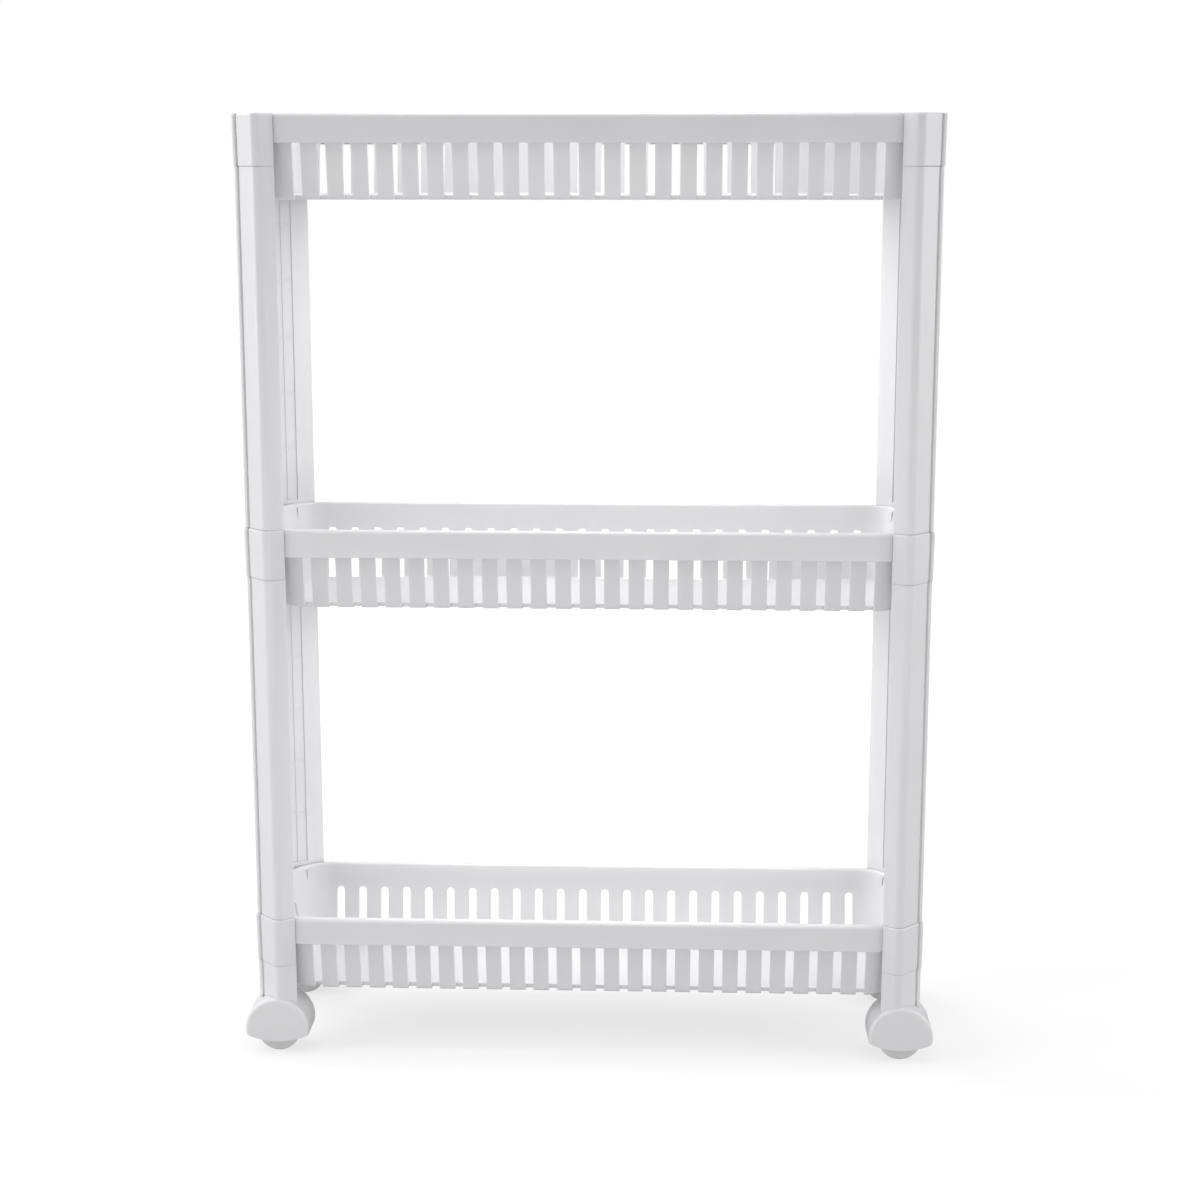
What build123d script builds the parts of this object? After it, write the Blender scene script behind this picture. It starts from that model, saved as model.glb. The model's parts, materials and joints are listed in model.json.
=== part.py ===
from build123d import *
import os

# Slim three-shelf rolling pantry cart, in millimetres.
# Frame: +X along the length, -Y is the front, +Z up, origin on the floor under the centre.
# Three identical slatted basket shelves plug onto four columns of hollow ribbed posts.
# Four hooded roller feet under the lowest shelf each hold a wheel that turns about an axle
# parallel to Y, so the cart rolls along its length.

# ---------------------------------------------------------------- driving dimensions

# heights
cart_height = 640.0
shelf_pitch = 271.5
socket_height = 33.5

# basket shelf, measured at the rim
rim_length = 450.0
rim_depth = 119.5
rim_corner_radius = 32.0
rim_height = 18.7
rim_skirt = 1.8
rim_low_fillet = 0.5
lip_width_ends = 6.5
lip_width_sides = 4.85
lip_thickness = 2.6
lip_outer_fillet = 2.8
lip_inner_fillet = 1.6

# basket tub, below the rim
basket_height = 55.0
tub_wall = 1.8
tub_floor = 2.8
tub_inset_x = 8.5
tub_inset_y = 8.25
tub_corner_radius_low = 20.0
tub_bottom_fillet = 3.0
tub_floor_fillet = 1.2

# ventilation slots
slot_width = 5.7
slot_pitch = 16.35
slots_per_side = 24
slots_per_end = 3
slot_top_depth = 17.3
slot_sill_inset = 6.0

# corner columns: plan of the front right one, as (x, distance in front of the centre)
column_outline = [
    (201.5, 59.2),
    (203.6, 60.1),
    (210.2, 64.0),
    (215.2, 64.0),
    (226.3, 52.8),
    (227.0, 50.3),
    (228.2, 52.0),
    (230.0, 51.4),
    (230.0, 35.5),
    (224.5, 35.5),
    (224.0, 43.0),
]
column_radii = [0, 1.5, 4.5, 4.5, 0.4, 0.5, 0.5, 0.9, 1.2, 0.8, 4.0]
cavity_outline = [
    (207.5, 58.6),
    (211.5, 61.6),
    (214.0, 61.6),
    (223.4, 52.1),
    (227.4, 46.5),
    (227.4, 39.0),
    (226.6, 39.0),
    (223.0, 46.7),
]
column_anchor = (201.5, 43.0)
socket_scale_low = 0.985
post_scale = 0.965
socket_scale_top = 0.968
socket_bevel = 1.1
joint_bevel = 0.4
joint_scale_drop = 0.016
socket_web = 3.0
brace_thickness = 3.0
brace_reach = 8.0
brace_x = 213.0
brace_d = 48.2

# posts
post_bays = 6
post_rib = 0.9
post_end_cap = 3.0
panel_start = 13.2
panel_end = 25.6
panel_web_at = 20.6
panel_recess = 0.7
panel_overcut = 1.0
rib_recess = 0.2
bore_outline = [
    (211.5, 58.3),
    (213.4, 59.4),
    (221.6, 51.2),
    (221.4, 49.7),
]

# plug-in spigots
spigot_length = 13.5
spigot_clearance = 0.15
plug_height = 6.0
cavity_corner_radius = 0.3

# roller feet
roller_x = 215.2
roller_y = 49.8
hood_radius = 22.0
hood_centre_z = 17.7
hood_width = 28.4
hood_low_z = 8.7
hood_low_radius = 50.0
hood_wall = 2.0
hood_edge_fillet = 2.2
stub_low_z = 30.0
stub_roof = 4.0
wheel_radius = 15.0
wheel_width = 18.0
wheel_gap = 0.5
wheel_tread_fillet = 2.0
axle_radius = 2.0
axle_embed = 1.2
axle_boss_radius = 4.6
axle_chamfer = 0.3
running_clearance = 0.06
seat_clearance = 0.02

# for picking edges
tolerance = 0.01

# ---------------------------------------------------------------- derived sizes

half_length = rim_length / 2
half_depth = rim_depth / 2
tub_top_x = half_length - lip_width_ends
tub_top_y = half_depth - lip_width_sides
tub_corner_radius_top = rim_corner_radius - lip_width_ends
tub_low_x = tub_top_x - tub_inset_x
tub_low_y = tub_top_y - tub_inset_y
post_length = shelf_pitch - socket_height
pocket_depth = (socket_height - socket_web) / 2
pocket_half = hood_width / 2 - hood_wall
axle_half = pocket_half + axle_embed

shelf_tops = {
    "bottom": cart_height - 2 * shelf_pitch,
    "middle": cart_height - shelf_pitch,
    "top": cart_height,
}
corners = {
    "front_left": (-1, -1),
    "front_right": (1, -1),
    "back_left": (-1, 1),
    "back_right": (1, 1),
}

os.makedirs("parts", exist_ok=True)


# ---------------------------------------------------------------- shared helpers

def save(shape, node):
    """Write one sub-part to its own STEP file."""
    export_step(shape, f"parts/{node}.step")


def to_corner(shape, side_x, side_y):
    """Mirror a front right shape to the corner with the given signs of X and Y."""
    if side_x < 0:
        shape = mirror(shape, about=Plane.YZ)
    if side_y > 0:
        shape = mirror(shape, about=Plane.XZ)
    return shape


def scaled(points, factor):
    """Scale plan points about the column's anchor point."""
    ax, ad = column_anchor
    return [(ax + factor * (x - ax), ad + factor * (d - ad)) for x, d in points]


def plan_face(points, radii, z):
    """Flat face at height z from front right plan points with rounded corners."""
    corners_xy = [(x, -d) for x, d in points]
    outline = FilletPolyline(*corners_xy, radius=radii, close=True)
    return Pos(0, 0, z) * make_face(outline)


def column_face(factor, z):
    """Cross-section of a corner column, scaled about its anchor."""
    radii = [factor * r for r in column_radii]
    return plan_face(scaled(column_outline, factor), radii, z)


def cavity_face(z):
    """Cross-section of the hollow inside a column."""
    return plan_face(cavity_outline, cavity_corner_radius, z)


def column(steps):
    """Corner column through the given steps, each a (scale, height)."""
    return loft([column_face(factor, z) for factor, z in steps], ruled=True)


def prism(face, height):
    """Extrude a flat horizontal face upwards."""
    return extrude(face, amount=height, dir=(0, 0, 1))


def rounded_block(half_x, half_y, radius, z_low, z_high):
    """Upright block with a rounded rectangular plan."""
    plan = Pos(0, 0, z_low) * RectangleRounded(2 * half_x, 2 * half_y, radius)
    return prism(plan, z_high - z_low)


def tapered_block(top, low, z_top, z_low):
    """Loft between two rounded rectangles, each given as (half x, half y, radius)."""
    upper = Pos(0, 0, z_top) * RectangleRounded(2 * top[0], 2 * top[1], top[2])
    lower = Pos(0, 0, z_low) * RectangleRounded(2 * low[0], 2 * low[1], low[2])
    return loft([lower, upper], ruled=True)


def edges_at(shape, z):
    """Edges that lie flat at height z."""
    return [
        e for e in shape.edges()
        if abs(e.bounding_box().min.Z - z) < tolerance
        and abs(e.bounding_box().max.Z - z) < tolerance
    ]


# ---------------------------------------------------------------- basket shelf, rim top at z = 0

def slot_cutter(reach, sill):
    """Pair of opposite slots along Y: round at the top, and wrapped under the floor's edge to sill."""
    z_round = -slot_top_depth - slot_width / 2
    z_floor = tub_floor - basket_height
    z_under = -basket_height - tub_floor
    straight = Pos(0, 0, (z_round + z_floor) / 2) * Box(slot_width, 2 * reach, z_round - z_floor)
    arch = Pos(0, 0, z_round) * Rot(90, 0, 0) * Cylinder(slot_width / 2, 2 * reach)
    wrap = Box(slot_width, reach - sill, z_floor - z_under)
    cutter = straight + arch
    for side in (-1, 1):
        cutter += Pos(0, side * (reach + sill) / 2, (z_floor + z_under) / 2) * wrap
    return cutter


def slot_rows():
    """All ventilation slots: a row through both long walls and one through both ends."""
    side_sill = tub_low_y + tub_wall - slot_sill_inset
    end_sill = tub_low_x + tub_wall - slot_sill_inset
    along = slot_cutter(half_depth, side_sill)
    across = Rot(0, 0, 90) * slot_cutter(half_length, end_sill)
    side_start = -slot_pitch * (slots_per_side - 1) / 2
    end_start = -slot_pitch * (slots_per_end - 1) / 2
    cutters = [Pos(side_start + i * slot_pitch, 0, 0) * along for i in range(slots_per_side)]
    cutters += [Pos(0, end_start + i * slot_pitch, 0) * across for i in range(slots_per_end)]
    return cutters


def tub_outside():
    """Outer form of the tapered tub with its rounded lower edge, slots cut."""
    top = (tub_top_x + tub_wall, tub_top_y + tub_wall, tub_corner_radius_top + tub_wall)
    low = (tub_low_x + tub_wall, tub_low_y + tub_wall, tub_corner_radius_low + tub_wall)
    tub = tapered_block(top, low, 0, -basket_height)
    tub = fillet(edges_at(tub, -basket_height), tub_bottom_fillet)
    return tub - slot_rows()


def tub_inside():
    """Inner form of the tub, from the rim down to the floor."""
    z_floor = tub_floor - basket_height
    top = (tub_top_x, tub_top_y, tub_corner_radius_top)
    low = (tub_low_x, tub_low_y, tub_corner_radius_low)
    hollow = tapered_block(top, low, 0, z_floor)
    return fillet(edges_at(hollow, z_floor), tub_floor_fillet)


def rim_band():
    """Downturned rim: a skirt that hangs from the outer edge of the flat lip."""
    band = rounded_block(half_length, half_depth, rim_corner_radius, -rim_height, 0)
    band = fillet(edges_at(band, 0), lip_outer_fillet)
    band = fillet(edges_at(band, -rim_height), rim_low_fillet)
    under_lip = rounded_block(
        half_length - rim_skirt,
        half_depth - rim_skirt,
        rim_corner_radius - rim_skirt,
        -rim_height,
        -lip_thickness,
    )
    return band - under_lip


def inner_lip_edges(shell):
    """Edges of the lip's inner outline, where the tub's mouth begins."""
    found = []
    for edge in edges_at(shell, 0):
        reach = edge.bounding_box()
        far_x = max(abs(reach.min.X), abs(reach.max.X))
        far_y = max(abs(reach.min.Y), abs(reach.max.Y))
        if far_x < tub_top_x + tolerance and far_y < tub_top_y + tolerance:
            found.append(edge)
    return found


def basket_shell():
    """Tub and rim as one shell, with the lip's inner edge rounded."""
    shell = rim_band() + tub_outside() - tub_inside()
    return fillet(inner_lip_edges(shell), lip_inner_fillet)


def socket_brace():
    """Diagonal web that ties the front right socket column to the tub's corner."""
    height = socket_height - lip_thickness
    block = Box(brace_reach, brace_thickness, height)
    middle = Pos(brace_x, -brace_d, -socket_height + height / 2)
    return middle * Rot(0, 0, -45) * block


def corner_socket():
    """Front right socket column: slightly drafted, with a bevel at each end."""
    steps = [
        (socket_scale_low - joint_scale_drop, -socket_height),
        (socket_scale_low, -socket_height + joint_bevel),
        (1.0, -socket_bevel),
        (socket_scale_top, 0),
    ]
    return column(steps) + socket_brace()


def socket_pockets():
    """Pockets that take the spigots from above and from below."""
    lower = prism(cavity_face(-socket_height), pocket_depth)
    upper = prism(cavity_face(-pocket_depth), pocket_depth)
    return [lower, upper]


def basket():
    """One complete shelf moulding."""
    body = basket_shell()
    for side_x, side_y in corners.values():
        body += to_corner(corner_socket(), side_x, side_y)
        body -= [to_corner(pocket, side_x, side_y) for pocket in socket_pockets()]
    return body


# ---------------------------------------------------------------- posts and plugs

def spigot(z_low, height):
    """Solid tongue that fits a socket pocket with a little clearance all round."""
    return prism(offset(cavity_face(z_low), amount=-spigot_clearance), height)


def bore(z_low, z_high):
    """Passage that hollows the tongues and opens the column's cavity at its ends."""
    return prism(plan_face(bore_outline, cavity_corner_radius, z_low), z_high - z_low)


def panel_frame():
    """Point and turn of the inner diagonal face: its start, and its direction along the plan."""
    start_x, start_d = scaled(column_outline, post_scale)[0]
    end_x, end_d = scaled(column_outline, post_scale)[-1]
    return Vector(start_x, -start_d), Vector(end_x - start_x, start_d - end_d).normalized()


def panel_block(along_from, along_to, depth_from, depth_to, z_low, z_high):
    """Upright block placed by its distances along and behind the inner diagonal face."""
    start, along = panel_frame()
    outward = Vector(along.Y, -along.X)
    middle = start + along * ((along_from + along_to) / 2) + outward * ((depth_from + depth_to) / 2)
    angle = Vector(1, 0, 0).get_signed_angle(along, Vector(0, 0, 1))
    block = Box(along_to - along_from, depth_to - depth_from, z_high - z_low)
    return Pos(middle.X, middle.Y, (z_low + z_high) / 2) * Rot(0, 0, angle) * block


def panel_relief(z_low, z_high):
    """Shallow recess in the inner diagonal face, less its cross ribs and its upright web."""
    recess_low = z_low + post_end_cap
    recess_high = z_high - post_end_cap
    relief = panel_block(
        panel_start, panel_end, -panel_overcut, panel_recess, recess_low, recess_high
    )
    bay = (z_high - z_low - post_rib) / post_bays
    for i in range(1, post_bays):
        rib_z = z_low + i * bay
        relief -= panel_block(
            panel_start, panel_end, rib_recess, panel_recess, rib_z, rib_z + post_rib
        )
    web_from = panel_web_at - post_rib / 2
    web_to = panel_web_at + post_rib / 2
    relief -= panel_block(web_from, web_to, rib_recess, panel_recess, recess_low, recess_high)
    return relief


def post(z_low):
    """Front right post: hollow, with ribbed inner panels and a tongue at each end."""
    z_high = z_low + post_length
    steps = [
        (post_scale - joint_scale_drop, z_low),
        (post_scale, z_low + joint_bevel),
        (post_scale, z_high - joint_bevel),
        (post_scale - joint_scale_drop, z_high),
    ]
    body = column(steps) - panel_relief(z_low, z_high)
    body -= prism(cavity_face(z_low + post_end_cap), post_length - 2 * post_end_cap)
    body += spigot(z_low - spigot_length, spigot_length)
    body += spigot(z_high, spigot_length)
    return body - bore(z_low - spigot_length, z_high + spigot_length)


def socket_plug():
    """Cap that closes an unused upper socket of the top shelf, flush with the rim."""
    return spigot(cart_height - plug_height, plug_height)


# ---------------------------------------------------------------- roller feet, front right

def at_axle(shape):
    """Move a shape built about the origin to the front right axle's centre."""
    return Pos(roller_x, -roller_y, wheel_radius) * shape


def at_hood(shape):
    """Lay a shape built about the Z axis along Y, at the front right hood's centre."""
    return Pos(roller_x, -roller_y, hood_centre_z) * Rot(90, 0, 0) * shape


def hood_block():
    """Solid form of the hood: a dome with rounded edges over a shallow convex lower edge."""
    dome = Cylinder(hood_radius, hood_width)
    dome = fillet(dome.edges().filter_by(GeomType.CIRCLE), hood_edge_fillet)
    bowl_centre = hood_low_z + hood_low_radius - hood_centre_z
    bowl = Pos(0, bowl_centre, 0) * Cylinder(hood_low_radius, hood_width)
    return at_hood(dome & bowl)


def roller_foot():
    """Foot moulding: a column stub with its spigot, on a hood with the wheel's pocket."""
    z_high = shelf_tops["bottom"] - socket_height
    steps = [
        (post_scale, stub_low_z),
        (post_scale, z_high - joint_bevel),
        (post_scale - joint_scale_drop, z_high),
    ]
    body = column(steps) + hood_block()
    body -= at_hood(Cylinder(hood_radius - hood_wall, 2 * pocket_half))
    body -= prism(cavity_face(stub_low_z), z_high - stub_roof - stub_low_z)
    boss_length = pocket_half - wheel_width / 2 - wheel_gap
    boss = Rot(90, 0, 0) * Cylinder(axle_boss_radius, boss_length)
    for side in (-1, 1):
        body += at_axle(Pos(0, side * (pocket_half - boss_length / 2), 0) * boss)
    axle_hole = Rot(90, 0, 0) * Cylinder(axle_radius + seat_clearance, 2 * axle_half)
    body -= at_axle(axle_hole)
    body += spigot(z_high, spigot_length)
    return body - bore(stub_low_z, z_high + spigot_length)


def axle():
    """Plain steel pin held in blind holes in both side walls of the hood."""
    pin = Cylinder(axle_radius, 2 * axle_half)
    pin = chamfer(pin.edges().filter_by(GeomType.CIRCLE), axle_chamfer)
    return at_axle(Rot(90, 0, 0) * pin)


def wheel():
    """Wide plain wheel with rounded edges and a bore for the axle."""
    disc = Cylinder(wheel_radius, wheel_width)
    disc = fillet(disc.edges().filter_by(GeomType.CIRCLE), wheel_tread_fillet)
    disc -= Cylinder(axle_radius + running_clearance, wheel_width)
    return at_axle(Rot(90, 0, 0) * disc)


# ---------------------------------------------------------------- the cart

shelf_basket = basket()
for level, top_z in shelf_tops.items():
    save(Pos(0, 0, top_z) * shelf_basket, f"{level}_basket")

front_right_pieces = {
    "lower_post": post(shelf_tops["bottom"]),
    "upper_post": post(shelf_tops["middle"]),
    "socket_plug": socket_plug(),
    "roller_foot": roller_foot(),
    "wheel_axle": axle(),
    "wheel": wheel(),
}
for name, piece in front_right_pieces.items():
    for corner, (side_x, side_y) in corners.items():
        save(to_corner(piece, side_x, side_y), f"{name}_{corner}")
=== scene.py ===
import json
import math

import bpy
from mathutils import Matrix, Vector


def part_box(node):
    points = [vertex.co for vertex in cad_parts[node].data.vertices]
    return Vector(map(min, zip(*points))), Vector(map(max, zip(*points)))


# Looks of the slim three-shelf rolling pantry cart: white moulded plastic on a pale studio floor.
# Metres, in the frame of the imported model: +X along the length, -Y towards the front, +Z up.

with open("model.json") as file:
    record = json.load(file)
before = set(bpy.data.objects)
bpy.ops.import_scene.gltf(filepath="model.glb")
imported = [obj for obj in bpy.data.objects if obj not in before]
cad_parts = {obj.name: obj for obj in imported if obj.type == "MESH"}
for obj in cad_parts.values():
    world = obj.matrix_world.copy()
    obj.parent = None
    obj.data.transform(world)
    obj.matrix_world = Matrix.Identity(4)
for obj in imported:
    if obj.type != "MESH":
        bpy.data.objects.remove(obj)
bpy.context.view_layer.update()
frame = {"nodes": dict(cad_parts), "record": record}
scene = bpy.context.scene

MM = 0.001

# ---------------------------------------------------------------- camera

camera_place = (0.057, -1.378, 0.6075)
camera_yaw = math.radians(2.1)
camera_pitch = math.radians(10.25)
camera_lens = 60.9
camera_shift = (0.0, -0.057)
camera_reach = 50

# ---------------------------------------------------------------- light

# radiance of the surroundings seen from the cart, white being 1
light_from_left = 0.66
light_from_right = 0.8
light_from_front = 0.27
light_from_back = 0.45
light_from_above = 0.5

# how far one side's light passes into the opposite side's, as a part of the direction
side_blend = 0.2

# soft lights around the cart: name, place, point aimed at, width and height, watts
cart_middle = (0, 0, 0.35)
studio_lights = [
    ("key_left", (-1.6, -0.4, 0.8), cart_middle, (0.8, 1.2), 11),
    ("fill_right", (1.6, -0.3, 0.8), cart_middle, (0.8, 1.2), 7),
    ("top_soft", (0, 0.1, 2.1), (0, 0, 0.6), (1.8, 1.2), 6),
    ("low_front", (0, -1.3, 0.1), (0, 0, 0.05), (1.6, 0.2), 4),
    ("back_glow", (-1.2, 0.8, 1.6), cart_middle, (1.2, 1.2), 11),
]

# small soft lights that face down: over the top basket, and in the bays under the other two
bay_glow_size = (0.28, 0.07)
top_glow_rise = 0.16
top_glow_watts = 0.26
bay_glow_gap = 3 * MM
bay_glow_watts = 0.32

# ---------------------------------------------------------------- floor

floor_half = 6.0
floor_albedo = 0.36
floor_grain = 0.4
floor_grain_step = 0.01
floor_roughness = 0.9

# its glow as seen, near the cart and far away, and the light that it throws on the cart
floor_glow_near = 0.66
floor_glow_far = 0.85
floor_near = 0.5
floor_far = 1.5
floor_bounce = 0.13

# ---------------------------------------------------------------- plastic

# sizes of the patterns in moulded plastic
cloud_size = 60 * MM
flow_size = 14 * MM
smear_size = 22 * MM
grain_size = 0.9 * MM
wave_size = 35 * MM
wave_to_grain = 60

# painted shade in joints between mouldings and in tight corners: its colour, and how far it spreads
# from them
crevice_painted_shade = (0.5, 0.5, 0.51, 1)
crevice_shade_reach = 1.2 * MM

# refraction, and how much light spreads inside the wall and how far
plastic_ior = 1.49
inner_glow = 0.3
inner_glow_depth = 2.5 * MM

# ---------------------------------------------------------------- procedural materials


class Recipe:
    """Node graph of one procedural material, with its patterns placed on the object in metres."""

    def __init__(self, name):
        self.material = bpy.data.materials.new(name)
        self.material.use_nodes = True
        self.tree = self.material.node_tree
        self.shader = self.tree.nodes["Principled BSDF"]
        self.place = self.add("ShaderNodeTexCoord").outputs["Object"]

    def add(self, kind, **settings):
        """A new node with its settings."""
        node = self.tree.nodes.new(kind)
        for key, value in settings.items():
            setattr(node, key, value)
        return node

    def feed(self, socket, value):
        """Link a socket or set a constant on another node's input."""
        if isinstance(value, bpy.types.NodeSocket):
            self.tree.links.new(value, socket)
        else:
            socket.default_value = value

    def stretched(self, scale):
        """Object coordinates scaled per axis."""
        mapping = self.add("ShaderNodeMapping")
        self.feed(mapping.inputs["Vector"], self.place)
        self.feed(mapping.inputs["Scale"], scale)
        return mapping.outputs["Vector"]

    def noise(self, size, detail=2.0, stretch=(1, 1, 1)):
        """Noise from 0 to 1 whose blobs are about size metres across."""
        node = self.add("ShaderNodeTexNoise")
        self.feed(node.inputs["Vector"], self.stretched(stretch))
        self.feed(node.inputs["Scale"], 1 / size)
        self.feed(node.inputs["Detail"], detail)
        return node.outputs["Fac"]

    def spread(self, value, low, high, from_low=0.3, from_high=0.7):
        """Map a value from one range to another."""
        node = self.add("ShaderNodeMapRange")
        self.feed(node.inputs["Value"], value)
        self.feed(node.inputs["From Min"], from_low)
        self.feed(node.inputs["From Max"], from_high)
        self.feed(node.inputs["To Min"], low)
        self.feed(node.inputs["To Max"], high)
        return node.outputs["Result"]

    def blend(self, factor, first, second):
        """Mix two colours."""
        node = self.add("ShaderNodeMix", data_type="RGBA")
        self.feed(node.inputs["Factor"], factor)
        colours = [socket for socket in node.inputs if socket.type == "RGBA"]
        self.feed(colours[0], first)
        self.feed(colours[1], second)
        return [socket for socket in node.outputs if socket.type == "RGBA"][0]

    def openness(self, reach):
        """Mask for painted shade: from 0 deep in a joint or a tight corner to 1 on open surface, felt
        within reach metres.
        """
        node = self.add("ShaderNodeAmbientOcclusion", samples=6)
        self.feed(node.inputs["Distance"], reach)
        return self.spread(node.outputs["AO"], 0, 1, 0.25, 0.8)

    def bump(self, height, depth, below=None):
        """Raise the surface by a height pattern, depth metres deep, over an earlier bump."""
        node = self.add("ShaderNodeBump")
        self.feed(node.inputs["Height"], height)
        self.feed(node.inputs["Distance"], depth)
        if below is not None:
            self.feed(node.inputs["Normal"], below)
        return node.outputs["Normal"]

    def shaded(self, **inputs):
        """The material, with its shader's inputs fed; their names have underscores for spaces."""
        for key, value in inputs.items():
            self.feed(self.shader.inputs[key.replace("_", " ")], value)
        return self.material


def moulded_plastic(name, light, dark, gloss, grain_depth):
    """White moulded polypropylene: faint flow clouding, satin gloss that varies, a fine skin, and
    painted shade in joints and tight corners.
    """
    recipe = Recipe(name)
    cloud = recipe.noise(cloud_size, detail=3)
    flow = recipe.noise(flow_size, stretch=(0.35, 1, 1))
    tint = recipe.blend(recipe.spread(cloud, 0, 1), light, dark)
    shade = recipe.blend(recipe.spread(flow, 0, 0.5), tint, light)
    smear = recipe.noise(smear_size, detail=4)
    skin = recipe.bump(recipe.noise(grain_size), grain_depth)
    wave = recipe.noise(wave_size, detail=1)
    return recipe.shaded(
        # painted shade: the base colour darkens in joints and tight corners, found by ambient
        # occlusion
        Base_Color=recipe.blend(recipe.openness(crevice_shade_reach), crevice_painted_shade, shade),
        Roughness=recipe.spread(smear, gloss[0], gloss[1]),
        Normal=recipe.bump(wave, wave_to_grain * grain_depth, skin),
        IOR=plastic_ior,
        Subsurface_Weight=inner_glow,
        Subsurface_Radius=(1.0, 1.0, 1.0),
        Subsurface_Scale=inner_glow_depth,
    )


def zinc_steel():
    """Bright zinc-plated steel pin with fine turning marks."""
    recipe = Recipe("zinc_steel")
    mottle = recipe.noise(2 * MM, detail=3)
    turning = recipe.noise(0.25 * MM, stretch=(0.1, 1, 0.1))
    return recipe.shaded(
        Base_Color=recipe.blend(mottle, (0.62, 0.62, 0.63, 1), (0.48, 0.49, 0.51, 1)),
        Metallic=1.0,
        Roughness=recipe.spread(turning, 0.28, 0.42),
        Normal=recipe.bump(turning, 0.01 * MM),
    )


# light and dark tint, range of roughness, and depth of the grain
plastics = {
    "basket_plastic": ((0.80, 0.80, 0.815, 1), (0.775, 0.775, 0.79, 1), (0.30, 0.42), 0.004 * MM),
    "post_plastic": ((0.815, 0.815, 0.83, 1), (0.795, 0.795, 0.81, 1), (0.28, 0.38), 0.003 * MM),
    "wheel_plastic": ((0.76, 0.76, 0.765, 1), (0.72, 0.72, 0.72, 1), (0.42, 0.6), 0.008 * MM),
}
materials = {name: moulded_plastic(name, *look) for name, look in plastics.items()}
materials["steel"] = zinc_steel()

# ---------------------------------------------------------------- carried-over CAD nodes

slots_by_node = {part["node"]: part["material_slot"] for part in frame["record"]["subparts"]}
for name, node in frame["nodes"].items():
    node.data.materials.clear()
    node.data.materials.append(materials[slots_by_node[name]])

# ---------------------------------------------------------------- studio


def grey(value):
    """Neutral colour."""
    return (value, value, value, 1)


def studio_floor():
    """Pale seamless floor whose own glow keeps the cart's shadows faint."""
    mesh = bpy.data.meshes.new("studio_floor")
    corners = [(x * floor_half, y * floor_half, 0) for x, y in ((-1, -1), (1, -1), (1, 1), (-1, 1))]
    mesh.from_pydata(corners, [], [(0, 1, 2, 3)])
    floor = bpy.data.objects.new("studio_floor", mesh)
    scene.collection.objects.link(floor)
    recipe = Recipe("studio_floor")
    distance = recipe.add("ShaderNodeVectorMath", operation="LENGTH")
    recipe.feed(distance.inputs[0], recipe.place)
    glow = recipe.spread(
        distance.outputs["Value"], floor_glow_near, floor_glow_far, floor_near, floor_far
    )
    seen = recipe.add("ShaderNodeLightPath").outputs["Is Camera Ray"]
    tint = recipe.blend(
        recipe.noise(floor_grain), grey(floor_albedo), grey(floor_albedo + floor_grain_step)
    )
    material = recipe.shaded(
        Base_Color=tint,
        Roughness=floor_roughness,
        Specular_IOR_Level=0.0,
        Emission_Color=grey(1),
        Emission_Strength=recipe.spread(seen, floor_bounce, glow, 0, 1),
    )
    mesh.materials.append(material)


def area_light(name, place, aim, size, watts):
    """Soft rectangular light at place that faces aim, unseen by the camera."""
    data = bpy.data.lights.new(name, "AREA")
    data.shape = "RECTANGLE"
    data.size, data.size_y = size
    data.energy = watts
    light = bpy.data.objects.new(name, data)
    scene.collection.objects.link(light)
    light.location = place
    light.rotation_euler = (Vector(aim) - Vector(place)).to_track_quat("-Z", "Y").to_euler()
    light.visible_camera = False


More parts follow.
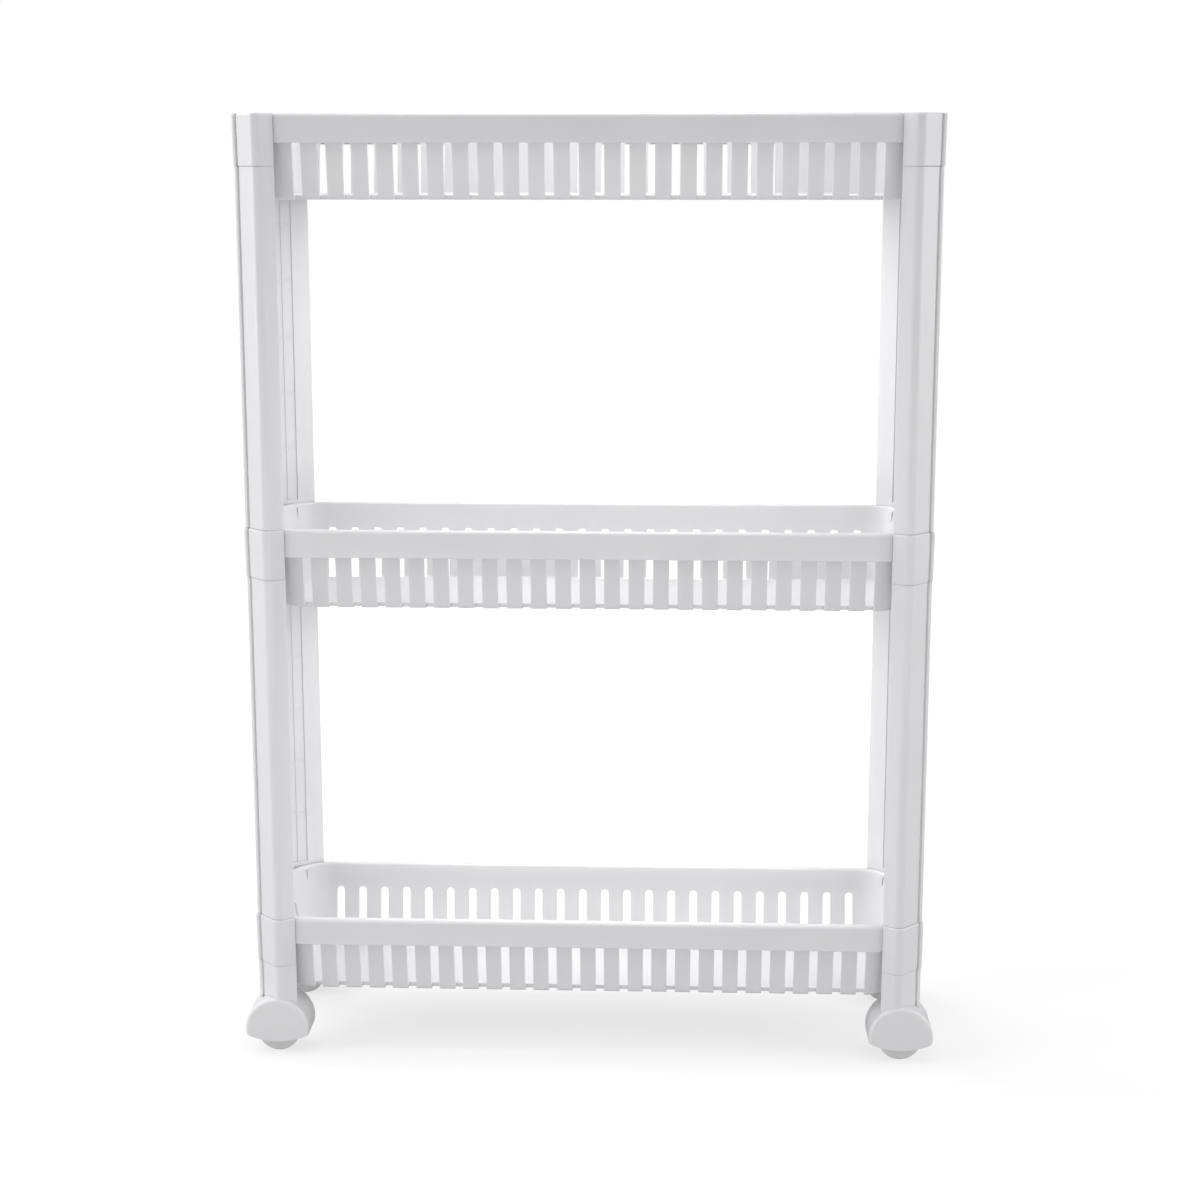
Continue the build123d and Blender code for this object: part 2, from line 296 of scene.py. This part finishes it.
def studio_world():
    """White backdrop, and a soft room light with its own strength from each side."""
    world = bpy.data.worlds.new("studio_world")
    scene.world = world
    world.use_nodes = True
    tree = world.node_tree
    direction = tree.nodes.new("ShaderNodeTexCoord").outputs["Generated"]
    split = tree.nodes.new("ShaderNodeSeparateXYZ")
    tree.links.new(direction, split.inputs["Vector"])
    sides = tree.nodes.new("ShaderNodeCombineXYZ")
    strengths = {
        "X": (light_from_left, light_from_right),
        "Y": (light_from_front, light_from_back),
        "Z": (light_from_above, light_from_above),
    }
    for axis, (low_side, high_side) in strengths.items():
        ramp = tree.nodes.new("ShaderNodeMapRange")
        tree.links.new(split.outputs[axis], ramp.inputs["Value"])
        ramp.inputs["From Min"].default_value = -side_blend
        ramp.inputs["From Max"].default_value = side_blend
        ramp.inputs["To Min"].default_value = low_side
        ramp.inputs["To Max"].default_value = high_side
        tree.links.new(ramp.outputs["Result"], sides.inputs[axis])
    squares = tree.nodes.new("ShaderNodeVectorMath")
    squares.operation = "MULTIPLY"
    tree.links.new(direction, squares.inputs[0])
    tree.links.new(direction, squares.inputs[1])
    strength = tree.nodes.new("ShaderNodeVectorMath")
    strength.operation = "DOT_PRODUCT"
    tree.links.new(squares.outputs["Vector"], strength.inputs[0])
    tree.links.new(sides.outputs["Vector"], strength.inputs[1])
    room = tree.nodes["Background"]
    room.inputs["Color"].default_value = grey(1)
    tree.links.new(strength.outputs["Value"], room.inputs["Strength"])
    backdrop = tree.nodes.new("ShaderNodeBackground")
    backdrop.inputs["Color"].default_value = grey(1)
    path = tree.nodes.new("ShaderNodeLightPath")
    pick = tree.nodes.new("ShaderNodeMixShader")
    tree.links.new(path.outputs["Is Camera Ray"], pick.inputs["Fac"])
    tree.links.new(room.outputs["Background"], pick.inputs[1])
    tree.links.new(backdrop.outputs["Background"], pick.inputs[2])
    tree.links.new(pick.outputs["Shader"], tree.nodes["World Output"].inputs["Surface"])


def studio_camera():
    """Camera at the eye point from which the cart is seen in its reference view."""
    data = bpy.data.cameras.new("camera")
    data.lens = camera_lens
    data.shift_x, data.shift_y = camera_shift
    data.clip_end = camera_reach
    camera = bpy.data.objects.new("camera", data)
    scene.collection.objects.link(camera)
    camera.location = camera_place
    camera.rotation_euler = (math.pi / 2 - camera_pitch, 0, camera_yaw)
    scene.camera = camera


studio_floor()
studio_world()
for light in studio_lights:
    area_light(*light)
top_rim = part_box("top_basket")[1][2]
area_light("bay_glow", (0, 0, top_rim + top_glow_rise), (0, 0, 0), bay_glow_size, top_glow_watts)
for level in ("top_basket", "middle_basket"):
    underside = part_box(level)[0][2] - bay_glow_gap
    area_light("bay_glow", (0, 0, underside), (0, 0, 0), bay_glow_size, bay_glow_watts)
studio_camera()
scene.view_settings.view_transform = "Standard"
